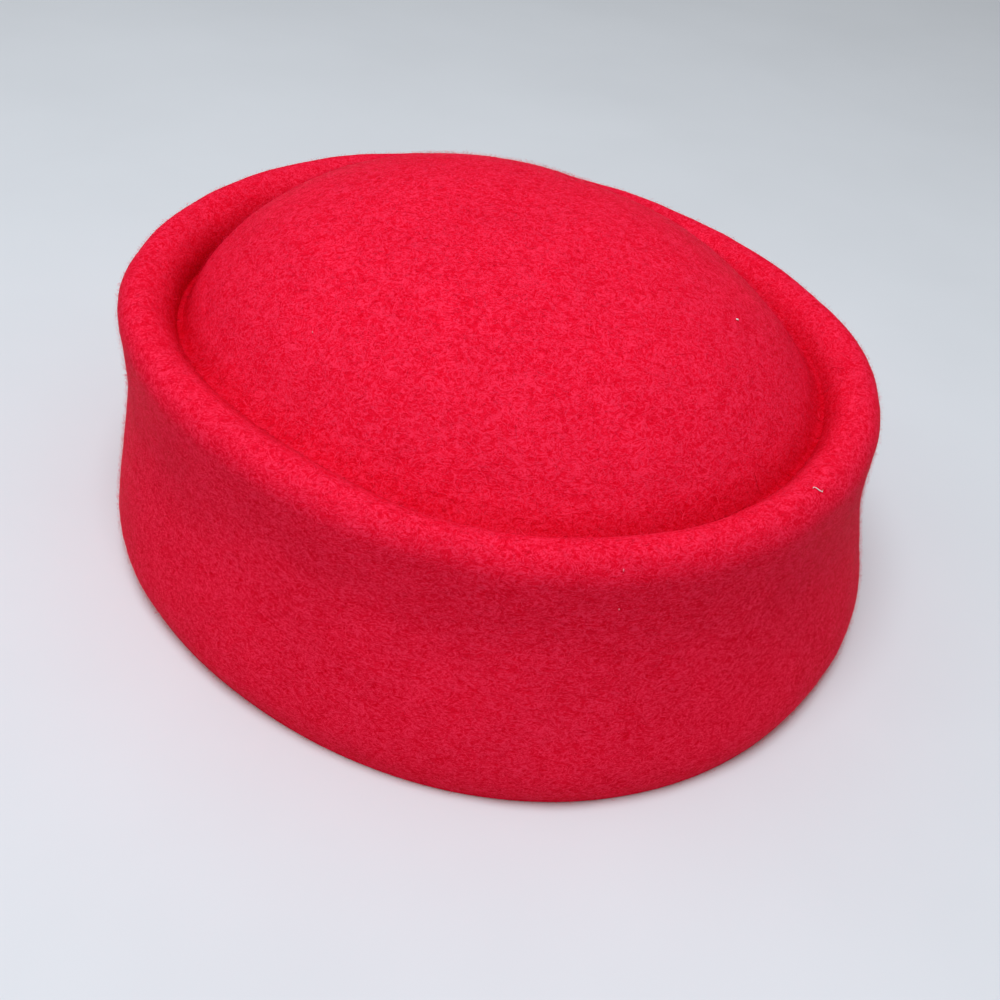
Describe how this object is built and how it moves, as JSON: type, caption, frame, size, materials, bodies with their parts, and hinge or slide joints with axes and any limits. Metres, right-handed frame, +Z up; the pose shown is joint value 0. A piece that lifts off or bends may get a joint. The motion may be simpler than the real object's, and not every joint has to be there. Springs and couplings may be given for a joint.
{
  "type": "pillbox hat",
  "caption": "Oval pillbox hat in red wool felt, with a drawn-in waist, a rolled standing rim, a groove inside it and a domed crown.",
  "frame": {"origin": "under the middle of the hat's plan, on the surface that its bottom edge rests on", "axes": "+Z up through the crown, -Y towards the front of the hat, Y along its length and X across it"},
  "size_m": [0.185, 0.197, 0.088],
  "materials": {
    "wool_felt": "red matted wool felt, soft short nap, no gloss"
  },
  "bodies": {
    "root": {"felt_shell": "wool_felt"}
  },
  "joints": []
}
